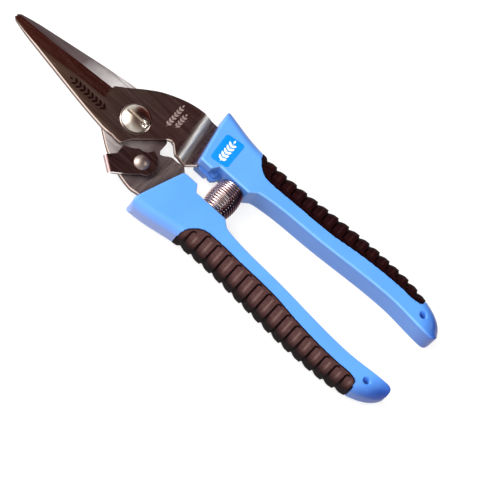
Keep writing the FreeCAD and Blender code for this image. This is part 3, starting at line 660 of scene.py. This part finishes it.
class SNIPS_OT_grips(bpy.types.Operator):
    """Soft grips with scalloped ribs"""
    bl_idname = "snips.grips"
    bl_label = "Soft grips"

    def execute(self, context):
        sizes, colours = context.scene.snips_sizes, context.scene.snips_colours
        # The upper grip's darker tones are painted shade on a copy of the same rubber; the last tone of
        # each is the painted highlight on the crests
        for side, dark, dusty, crest_highlight in (
                ("upper", linear((26, 6, 8)), (36, 12, 13), (46, 22, 22)),
                ("lower", colours.grip, (86, 60, 58), (112, 88, 82))):
            finish = rubber(f"{side}_grip_rubber", dark, linear(dusty), linear(crest_highlight))
            points, faces, shares = self.surface(side, sizes)
            make_piece(f"{side}_soft_grip", placed(points, side), faces, side, "grip_rubber", finish,
                       [f"{side}_grip"], 60, **shares)
        return {"FINISHED"}

    def surface(self, side, sizes):
        """Shell over the handle's outer half. Across, a point runs over the level face, a quarter
        circle and the side, by length; it's then pushed in along the normal by the grooves, that
        drop steeply at the front, rise slowly behind as (1 - r)^1.5 and end in a round, and drawn
        in for the inner wall. With the points come their shares of crest, where a highlight is
        painted, and of hollow, where shade is painted."""
        border, outer = grip_border(side), outer_side(side)
        front = border[0, 0]
        proud, deep = sizes.grip_proud / MM, sizes.groove_deep / MM
        share = (1 - np.cos(np.linspace(0, math.pi, 40))) / 2
        x = np.concatenate([front + 8 * share[:20], np.linspace(front + 4.2, GRIP_BACK - 3.5, 400),
                            GRIP_BACK - 6.5 * share[:20][::-1]])
        x = np.unique(np.clip(x, front + 0.12, GRIP_BACK - 0.12))[:, None]
        rim = read(outer, x)
        edge = np.minimum(read(border, x) + 0.12, rim - 0.05)
        flat = np.maximum(rim - ROUND - edge, 0)
        begin = np.arcsin(np.clip((edge - (rim - ROUND)) / ROUND, 0, 1))
        lengths = [flat, ROUND * (math.pi / 2 - begin), np.full_like(flat, MIDDLE - ROUND)]
        whole = sum(lengths)
        t = np.concatenate([np.linspace(0, 0.08, 6)[:-1], np.linspace(0.08, 1, 42)])[None, :] * whole
        on_face = t < lengths[0]
        angle = begin + np.clip(t - lengths[0], 0, lengths[1]) / ROUND
        down = np.clip(t - lengths[0] - lengths[1], 0, None)
        y = np.where(on_face, edge + t, rim - ROUND + ROUND * np.sin(angle))
        z = np.where(on_face, THICK, THICK - ROUND + ROUND * np.cos(angle)) - down
        ny, nz = np.where(on_face, 0, np.sin(angle)), np.where(on_face, 1, np.cos(angle))
        count = sizes.groove_count
        first = front + 3.1
        pitch = (115.4 - first) / (count - 1)
        centre = first + pitch * np.clip(np.floor((x - first + 0.5) / pitch), 0, count - 1)
        end = np.minimum(read(border, centre) + 2.2, read(outer, centre) - 2.2)
        beyond = x - centre + np.zeros_like(y)
        short = np.minimum(y - end, 0)
        over_side = ny**2
        reach = np.where(beyond > 0, sizes.groove_wide / MM, 0.45 + 1.1 * over_side)
        away = np.hypot(beyond / reach, short / 0.9)
        lowered = deep * (1 + 0.4 * over_side) * np.clip(1 - away, 0, 1)**1.5
        hook = 1.0                               # radius of a dark notch's rounded end
        # Painted shade along each groove's front wall and a painted highlight on each rise
        notch = np.abs(np.hypot(beyond - hook, short) - hook) / 0.42
        notch = 1 - rise(notch, 0.3, 1.3) - rise(beyond, hook, 2 * hook)
        crest = np.exp(-((beyond - 2.6) / 0.4)**2) * rise(y - end, -0.6, 0.6) * rise(rim - y, 0, 2)
        to_edge = np.minimum(t, np.minimum(x - front, GRIP_BACK - x) * np.ones_like(t))
        lip = (proud + 0.1) * (1 - np.sqrt(np.clip(1 - (1 - np.clip(to_edge / 0.35, 0, 1))**2, 0, 1)))
        lift = proud - lowered - lip
        # Painted shade in the notches and along the rubber's border
        hollow = np.maximum(np.clip(notch, 0, 1), 1 - rise(to_edge, 0.3, 0.75))
        over, under = (self.mirrored(np.stack([x + 0 * y, y + ny * move, z + nz * move], -1))
                       for move in (lift, -GRIP_THICK))
        points = np.concatenate([over, under[:, ::-1]], 1)
        shares = {key: np.concatenate([share, share[:, ::-1][:, 1:], 0 * over[..., 0]], 1)
                  for key, share in (("crest", crest), ("hollow", hollow))}
        rows, columns = points.shape[:2]
        faces = list(quads(rows, columns))
        across = columns // 2
        for row in (0, rows - 1):
            base = row * columns
            faces += [(base + k, base + k + 1, base + columns - 2 - k, base + columns - 1 - k)
                      for k in range(across - 1)]
        return points.reshape(-1, 3), faces, shares

    @staticmethod
    def mirrored(points):
        """Rows of points that go on under the middle level, as their own mirror image."""
        return np.concatenate([points, (points * (1, 1, -1) + (0, 0, THICK))[:, -2::-1]], 1)


def plate_from(node, name, edge, body, material, shape=None, crease=12.0):
    """A plate's own CAD faces as one clean mesh: triangles in a plane are joined, shape may bend
    it, and every sharp edge is rounded. Edges that turn by less than crease degrees are smooth."""
    mesh = frame["nodes"][node].data.copy()
    mesh.name = name

    def joined(bm):
        bmesh.ops.dissolve_limit(bm, angle_limit=math.radians(0.8), verts=bm.verts, edges=bm.edges)
        if shape:
            shape(bm)

    tidy_mesh(mesh, crease, 2e-6, joined)
    piece = add_object(name, mesh, body, material, [node])
    round_off = piece.modifiers.new("round_off", "BEVEL")
    round_off.width, round_off.segments = edge, 3
    round_off.limit_method, round_off.angle_limit = "ANGLE", math.radians(35)
    round_off.harden_normals = True
    keep_modified(piece)
    return piece


def store(mesh, name, values):
    """Keep one number for each point of a mesh, for its material."""
    made = mesh.attributes.new(name, "FLOAT", "POINT")
    made.data.foreach_set("value", np.asarray(values, np.float32))


def corners_of(piece):
    """All points of a piece in millimetres from the pivot."""
    points = np.empty(3 * len(piece.data.vertices))
    piece.data.vertices.foreach_get("co", points)
    return points.reshape(-1, 3) / MM - (*PIVOT, 0)


class SNIPS_OT_blades(bpy.types.Operator):
    """Stamped, joggled and ground blades"""
    bl_idname = "snips.blades"
    bl_label = "Blades"

    START, RUN, DROP = -0.8, 4.6, 1.22           # of a joggle, from its bend line
    ROOM = 3.2                                   # how far the pressed lines go past a joggle
    LEVEL, PLATE = 6.03, 2.47                    # of the upper blade's meeting face
    BENDS = {"upper": (20.2, 7.6), "lower": (21.5, 17.5)}    # place on X and slant in degrees

    def execute(self, context):
        sizes, colours = context.scene.snips_sizes, context.scene.snips_colours
        finishes = {
            # The upper blade's stops paint its reflections along X, lighter towards the tip and the
            # shoulder, and its edge band paints a highlight
            "upper": steel(
                "upper_blade_steel",
                toned((-56, (206, 168, 154)), (-30, (196, 174, 156))) + [(-4, colours.steel)]
                + toned((12, (178, 148, 146)), (26, (190, 164, 160))),
                0.22, edge_highlight=(0.18, -11.9, 4.0, linear((226, 206, 178))), press_turn=-self.slant("upper")),
            # The lower blade's stops paint its reflections along X: a bright painted highlight about 13
            # mm towards the tips from the pivot, darker towards the tip and the handle
            "lower": steel(
                "lower_blade_steel",
                toned((-56, (104, 88, 90)), (-27, (126, 112, 114)), (-13, (254, 252, 252)),
                      (-5, (240, 236, 236)), (3, (192, 184, 182)), (12, (118, 100, 101)),
                      (26, (126, 110, 110))),
                0.58, 0.3, press_turn=-self.slant("lower"), satin=(122, 108, 106)),
        }
        for side in ("upper", "lower"):
            piece = plate_from(f"{side}_blade", f"{side}_blade_plate", sizes.edge_round, side,
                               finishes[side], lambda bm, side=side: self.bend(bm, side))
            x, y, z = corners_of(piece).T
            upper = side == "upper"
            along = self.past_bend(x, y, side)
            low, high = self.levels(along)
            along -= self.START
            beyond, lines = self.RUN - along, (-self.ROOM, 2 - self.ROOM)
            for key, values in (
                    ("across", np.clip((z - low if upper else z - THICK + high) / (high - low), 0, 1)),
                    # Painted highlight along the upper joggle's crest
                    ("lit", upper * np.exp(-((along - 1.15) / 0.9)**2)),
                    ("bent", rise(along, -1.5, 1.5) * rise(beyond, -2.2, 2.2)),
                    ("pressed", rise(along, *lines) * rise(beyond, *lines))):
                store(piece.data, key, values)
        return {"FINISHED"}

    def slant(self, side):
        """Angle of a blade's joggle in plan."""
        return math.radians(self.BENDS[side][1]) * (1 if side == "upper" else -1)

    def drop(self, along, thick):
        """How far a joggled face has come down: an arc that turns down and one that turns back,
        of radius R - thick and R + thick, where R makes the two meet on the top face."""
        radius = (self.RUN**2 + self.DROP**2) / (4 * self.DROP)
        first, second = radius - thick, radius + thick
        split = first * self.RUN / (2 * radius)
        u = np.clip(along - self.START, 0, self.RUN)
        down = first - np.sqrt(np.clip(first**2 - u**2, 0, None))
        back = self.DROP - second + np.sqrt(second**2 - (self.RUN - u)**2)
        return np.where(u < split, down, back)

    def past_bend(self, x, y, side):
        """How far places in millimetres from the pivot lie behind a blade's bend line."""
        slant = self.slant(side)
        return (x - self.BENDS[side][0]) * math.cos(slant) + y * math.sin(slant)

    def levels(self, along):
        """Levels of the upper blade's meeting face and outer face so far behind its bend line."""
        return self.LEVEL - self.drop(along, self.PLATE), self.LEVEL + self.PLATE - self.drop(along, 0)

    def bend(self, bm, side):
        """Slice the joggle across and put each point of it on its exact arc."""
        slant = self.slant(side)
        along = Vector((math.cos(slant), math.sin(slant), 0))
        origin = Vector(((PIVOT[0] + self.BENDS[side][0]) * MM, PIVOT[1] * MM, 0))
        end = self.START + self.RUN
        for place in np.concatenate([np.linspace(self.START - self.ROOM, self.START, 9)[:-1],
                                     np.linspace(self.START, end, 17),
                                     np.linspace(end, end + self.ROOM, 9)[1:]]):
            bmesh.ops.bisect_plane(bm, geom=[*bm.verts, *bm.edges, *bm.faces], dist=1e-7,
                                   plane_co=origin + along * float(place) * MM, plane_no=along)
        for vert in bm.verts:
            far = (vert.co - origin).dot(along) / MM
            if self.START < far < end:
                z = vert.co.z / MM if side == "upper" else THICK - vert.co.z / MM
                low, high = map(float, self.levels(far))
                z = high if z > (low + high) / 2 else low
                vert.co.z = (z if side == "upper" else THICK - z) * MM


class SNIPS_OT_marks(bpy.types.Operator):
    """Plain leaf sprigs on the label pad and etched into the upper blade"""
    bl_idname = "snips.marks"
    bl_label = "Leaf marks"

    BLADE_TOP = 8.5

    def execute(self, context):
        pale = polished("pale_etching", (226, 206, 200), (200, 180, 174), 0.5)
        dark = polished("dark_etching", (60, 30, 28), (48, 24, 22), 0.45)
        white = plastic("label_white", linear((250, 252, 255)), linear((240, 246, 255)))
        top = self.BLADE_TOP
        for name, start, end, leaves, wide, level, slot, material in (
                ("label_sprig", (31.9, 8.4), (31.4, 17.3), 5, 3.2, THICK + 0.05, "handle_plastic", white),
                ("dark_blade_sprig", (-9.8, -5.0), (-26.2, -4.9), 8, 3.0, top, "blade_steel", dark),
                ("pale_blade_sprig", (9.6, 6.2), (9.3, 16.0), 6, 1.9, top, "blade_steel", pale),
                ("small_blade_sprig", (12.4, 8.0), (12.2, 14.2), 4, 1.9, top, "blade_steel", pale)):
            points, faces = self.sprig(np.array(start), np.array(end), leaves, wide, level)
            make_piece(name, placed(points, "upper"), faces, "upper", slot, material)
        return {"FINISHED"}

    @staticmethod
    def sprig(start, end, leaves, wide, level):
        """Stem with pairs of leaves and one at its tip. A leaf's half width is a sine of the way
        along it."""
        along = (end - start) / np.linalg.norm(end - start)
        side = np.array([-along[1], along[0]])
        step = np.linalg.norm(end - start) / (leaves + 0.6)
        stem = [start - side * 0.1, end - side * 0.05, end + side * 0.05, start + side * 0.1]
        shapes = [stem]
        t = np.linspace(0, 1, 9)[:, None]
        for k in range(leaves + 1):
            root = start + along * step * (k + 0.3)
            for way in ((1, -1) if k < leaves else (0,)):
                tip = root + along * step * 0.95 + side * way * wide / 2
                across = np.array([root[1] - tip[1], tip[0] - root[0]]) * 0.22
                bulge = across * np.sin(math.pi * t)
                blade = root + (tip - root) * t
                shapes.append(np.vstack([blade + bulge, (blade - bulge)[::-1][1:-1]]))
        points, faces = [], []
        for shape in shapes:
            made, flat = slab(shape, level - 0.02, level + 0.012, 0.004, 1)
            faces += [[index + len(points) for index in face] for face in flat]
            points += made.tolist()
        return np.array(points), faces


class SNIPS_OT_pivot(bpy.types.Operator):
    """Slotted pivot screw, its washer and its nut"""
    bl_idname = "snips.pivot"
    bl_label = "Pivot"

    def execute(self, context):
        bright = polished("screw_polish", (236, 228, 216), (206, 190, 176), 0.2)
        low, high = (corner.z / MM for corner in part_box("pivot_screw"))
        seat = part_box("pivot_washer")[1].z / MM
        profile = [(0.01, low), (2.7, low), (3.0, low + 0.3), (3.0, seat), (5.0, seat),
                   (5.15, seat + 0.1), (5.2, seat + 0.35)]
        profile += self.dome(5.2, seat + 0.5, high - seat - 0.5)
        points, faces = turned(profile, PIVOT, 96)
        screw = make_piece("slotted_screw", points * MM, faces, "lower", "polished_steel", bright,
                           ["pivot_screw"], 35)
        ring = [(-8, -0.6), (8, -0.6), (8, 0.6), (-8, 0.6)]
        slot, flat = slab(np.array(ring) + PIVOT, high - 1.0, high + 2, 0.01, 1)
        cut_with(screw, slot * MM, flat)
        screw.data.set_sharp_from_angle(angle=math.radians(35))
        low, high = (corner.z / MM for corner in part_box("pivot_washer"))
        points, faces = turned([(3.05, low), (5.65, low), (5.8, low + 0.1), (5.8, high - 0.1),
                                (5.65, high), (3.05, high), (3.05, low)], PIVOT, 80)
        make_piece("screw_washer", points * MM, faces[:-2], "lower", "polished_steel",
                   polished("washer_polish", (170, 158, 152), (120, 104, 98), 0.2), ["pivot_washer"], 35)
        plate_from("pivot_nut", "hexagon_nut", 0.0003, "lower",
                   polished("nut_polish", (185, 182, 182), (150, 146, 146), 0.25), crease=30)
        return {"FINISHED"}

    @staticmethod
    def dome(radius, base, high, steps=16):
        """Spherical cap from its rim to its top: radius R sin a, height R cos a."""
        ball = (radius * radius + high * high) / (2 * high)
        angle = np.linspace(math.asin(radius / ball), 0.003, steps)
        return list(zip(ball * np.sin(angle), base + high - ball + ball * np.cos(angle)))


class SNIPS_OT_lock(bpy.types.Operator):
    """Lock lever and its domed rivet"""
    bl_idname = "snips.lock"
    bl_label = "Thumb lock"

    TAB, TAB_WAY = (0.6, -17.65), (0.6, 0.8)     # a point of the tab's edge and the way in from it
    TAB_IN, LEVER_THICK = 0.8, 1.9

    def beyond_tab(self, x, y):
        """How far a place lies outside the line where the thumb tab bends down."""
        return (self.TAB[0] - x) * self.TAB_WAY[0] + (self.TAB[1] - y) * self.TAB_WAY[1]

    def draw_in(self, bm):
        """Move the thumb tab inwards along the plate."""
        for vert in bm.verts:
            if self.beyond_tab(vert.co.x / MM - PIVOT[0], vert.co.y / MM - PIVOT[1]) > -0.05:
                vert.co.x += self.TAB_WAY[0] * self.TAB_IN * MM
                vert.co.y += self.TAB_WAY[1] * self.TAB_IN * MM

    def execute(self, context):
        sizes = context.scene.snips_sizes
        # The lever's near-white side tone is a painted highlight on its edges
        finish = steel("lever_steel", toned((0, (140, 112, 112)), (18, (128, 98, 96))), 0.25, 0.7,
                       rim=(250, 246, 244))
        lever = plate_from("lock_lever", "thumb_lever", sizes.edge_round, "lock", finish,
                           self.draw_in, 25)
        x, y, z = corners_of(lever).T
        # The whole thumb tab takes the pale side tone: a painted highlight
        tab = self.beyond_tab(x, y) > 0.05 - self.TAB_IN
        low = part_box("lock_lever")[1].z / MM - self.LEVER_THICK
        store(lever.data, "across", np.where(tab, 1, np.clip((z - low) / self.LEVER_THICK, 0, 1)))
        low, high = (corner.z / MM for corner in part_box("lock_rivet"))
        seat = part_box("lock_lever")[1].z / MM + 0.05
        profile = [(0.01, low), (2.6, low), (2.85, low + 0.2), (2.85, low + 1.0), (1.95, low + 1.0),
                   (1.95, seat), (2.75, seat), (2.85, seat + 0.1)]
        profile += SNIPS_OT_pivot.dome(2.85, seat + 0.3, high - seat - 0.3)
        points, faces = turned(profile, RIVET, 64)
        make_piece("domed_rivet", points * MM, faces, "lower", "polished_steel",
                   polished("rivet_polish", (190, 174, 166), (150, 132, 124), 0.4), ["lock_rivet"], 35)
        return {"FINISHED"}


class SNIPS_OT_spring(bpy.types.Operator):
    """Barrel compression spring between the handles"""
    bl_idname = "snips.spring"
    bl_label = "Return spring"

    def execute(self, context):
        sizes = context.scene.snips_sizes
        wire, turns = sizes.wire_radius, sizes.spring_turns
        middle = (SPRING_LOW + SPRING_HIGH) / 2
        half = (SPRING_HIGH.y - SPRING_LOW.y) / 2 - wire
        share = np.linspace(0, 1, int(turns * 56) + 1)
        end_radius, swell = 0.00435, 0.00115
        radius = end_radius + swell * np.sin(math.pi * share)**0.8
        angle = 2 * math.pi * turns * share
        line = np.stack([(SPRING_X + PIVOT[0]) * MM + radius * np.cos(angle),
                         middle.y + half * (2 * share - 1),
                         MIDDLE * MM + radius * np.sin(angle)], -1)
        around = 14
        points, faces = self.tube(line, wire, around)
        # Darker towards the coils' +X side: painted shade
        painted_shade = rise(line[:, 0] / MM - PIVOT[0], SPRING_X - 2, SPRING_X + 3)
        piece = make_piece("barrel_spring", points, faces, "lower", "spring_steel",
                           polished("spring_wire", (250, 224, 222), (206, 172, 168), 0.14, (84, 48, 56)),
                           ["return_spring"], 50, shade=np.repeat(painted_shade, around))
        piece.parent = None
        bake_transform(piece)
        return {"FINISHED"}

    @staticmethod
    def tube(line, radius, around):
        """Round tube: at each point of the line a circle in the plane of the two unit vectors
        square to its direction, one of them nearest to Y."""
        along = unit(np.gradient(line, axis=0))
        side = unit(np.cross(along, (0, 1, 0)))
        up = np.cross(side, along)
        angle = np.linspace(0, 2 * math.pi, around, endpoint=False)[:, None]
        points = line[:, None] + radius * (np.cos(angle) * side[:, None] + np.sin(angle) * up[:, None])
        return points.reshape(-1, 3), capped(len(line), around)


class SNIPS_OT_stage(bpy.types.Operator):
    """Pale floor, soft lamps and camera"""
    bl_idname = "snips.stage"
    bl_label = "Stage"

    ELEVATION, ROLL, LENS, FILM, FRAME_WIDE = 65.0, 42.05, 300.0, 36.0, 0.1696
    TARGET = (18.5, -6.18, 6.0)
    GLOW, ROOM_LIGHT = 0.74, 0.72                # of the floor and of the room
    WALL = 0.25                                  # the room's grey beside its window's white
    CEILING = ((0.22, 0.5, 0.84), ((0.55, WHITE), (0.75, (0.5, 0.44, 0.4, 1)),
                                   (0.88, (0.17, 0.1, 0.09, 1)), (1.0, (0.14, 0.08, 0.075, 1))))
    BEHIND = ((0.15, 0.86, 0.48), ((0.78, WHITE), (0.9, (0.2, 0.03, 0.025, 1))))
    PAST_END = ((0.95, 0.2, 0.1), ((0.68, WHITE), (0.88, (0.2, 0.17, 0.17, 1))))
    WINDOW = ((-0.66, -0.12, 0.74), ((0.84, grey(WALL)), (0.93, WHITE)))

    def execute(self, context):
        scene = context.scene
        scene.view_settings.view_transform = "Standard"
        self.floor()
        self.world(scene)
        self.lamp("key", (-0.95, -0.25, 0.85), 0.6, 9.0)
        self.lamp("fill", (0.1, -0.5, 1.1), 0.7, 4.5)
        self.lamp("strip", (0.6, 0.5, 0.85), 0.4, 2.0, 0.2)
        self.camera(scene)
        return {"FINISHED"}

    def floor(self):
        """Matt pale sheet, with an even glow for camera, glossy and transmission rays only."""
        mesh = new_mesh("floor", [(-8, -8, 0), (8, -8, 0), (8, 8, 0), (-8, 8, 0)], [(0, 1, 2, 3)])
        floor = new_object("floor", mesh)
        floor.location.z = -0.0002
        finish = Finish("floor_white", Base_Color=grey(0.35), Roughness=0.9, Specular_IOR_Level=0.1)
        rays = finish.node("ShaderNodeLightPath").outputs
        seen = finish.maths("MAXIMUM", rays["Is Camera Ray"], rays["Is Glossy Ray"])
        seen = finish.maths("MAXIMUM", seen, rays["Is Transmission Ray"])
        glow = finish.node("ShaderNodeEmission", WHITE, finish.maths("MULTIPLY", seen, self.GLOW))
        nodes = finish.tree.nodes
        total = finish.node("ShaderNodeAddShader", nodes["Principled BSDF"].outputs["BSDF"],
                            glow.outputs["Emission"])
        finish.feed(nodes["Material Output"].inputs["Surface"], total.outputs["Shader"])
        mesh.materials.append(finish.material)

    def world(self, scene):
        """A white room with a bright window, a dim warm patch of ceiling, a dark red one behind it
        and a dark wall past the handles' ends. Each fades in with the dot product of the
        direction and the patch's own direction."""
        world = bpy.data.worlds.new("soft_room")
        scene.world = world
        world.use_nodes = True
        room = Wiring(world.node_tree)
        around, light = room.coords("Generated"), WHITE
        for way, stops in (self.CEILING, self.BEHIND, self.PAST_END, self.WINDOW):
            patch = room.ramp(room.facing(around, Vector(way).normalized()), stops)
            light = room.mix(1.0, light, patch, "MULTIPLY")
        back = world.node_tree.nodes["Background"]
        room.feed(back.inputs["Color"], light)
        back.inputs["Strength"].default_value = self.ROOM_LIGHT / self.WALL

    @staticmethod
    def lamp(name, place, size, power, narrow=None):
        data = bpy.data.lights.new(name, "AREA")
        data.shape, data.size, data.energy = "ELLIPSE", size, power
        data.size_y = narrow or size
        lamp = new_object(name, data)
        lamp.location = place
        lamp.rotation_euler = (-Vector(place)).to_track_quat("-Z", "Y").to_euler()
        lamp.visible_glossy = name != "fill"

    def camera(self, scene):
        """Long lens above the snips, rolled so that they lie on the frame's diagonal."""
        data = bpy.data.cameras.new("camera")
        data.lens, data.sensor_width = self.LENS, self.FILM
        camera = new_object("camera", data)
        tilt, roll = math.radians(self.ELEVATION), math.radians(self.ROLL)
        back = Vector((0, -math.cos(tilt), math.sin(tilt)))
        up = Vector((0, math.sin(tilt), math.cos(tilt)))
        across = Vector((1, 0, 0))
        right = across * math.cos(roll) + up * math.sin(roll)
        above = up * math.cos(roll) - across * math.sin(roll)
        far = self.LENS / self.FILM * self.FRAME_WIDE
        data.clip_start, data.clip_end = 0.05, 50
        turn = np.array([right, above, back]).T
        camera.rotation_mode = "QUATERNION"
        camera.rotation_quaternion = Matrix(turn.tolist()).to_quaternion()
        camera.location = Vector(self.TARGET) * MM + back * far
        scene.camera = camera


class SNIPS_PT_panel(bpy.types.Panel):
    """Buttons that build the snips piece by piece"""
    bl_label = "Floral snips"
    bl_idname = "SNIPS_PT_panel"
    bl_space_type = "VIEW_3D"
    bl_region_type = "UI"
    bl_category = "Snips"

    def draw(self, context):
        layout = self.layout
        for group in (context.scene.snips_sizes, context.scene.snips_colours):
            for key in group.__annotations__:
                layout.prop(group, key)
        for operator in OPERATORS:
            layout.operator(operator.bl_idname)


OPERATORS = (SNIPS_OT_stage, SNIPS_OT_handles, SNIPS_OT_grips, SNIPS_OT_blades, SNIPS_OT_marks,
             SNIPS_OT_pivot, SNIPS_OT_lock, SNIPS_OT_spring)
CLASSES = (SnipsSizes, SnipsColours) + OPERATORS + (SNIPS_PT_panel,)


def register():
    for made in CLASSES:
        bpy.utils.register_class(made)
    bpy.types.Scene.snips_sizes = bpy.props.PointerProperty(type=SnipsSizes)
    bpy.types.Scene.snips_colours = bpy.props.PointerProperty(type=SnipsColours)


def unregister():
    del bpy.types.Scene.snips_sizes, bpy.types.Scene.snips_colours
    for made in reversed(CLASSES):
        bpy.utils.unregister_class(made)


def main():
    register()
    for operator in OPERATORS:
        group, name = operator.bl_idname.split(".")
        getattr(getattr(bpy.ops, group), name)()


if __name__ == "__main__":
    main()
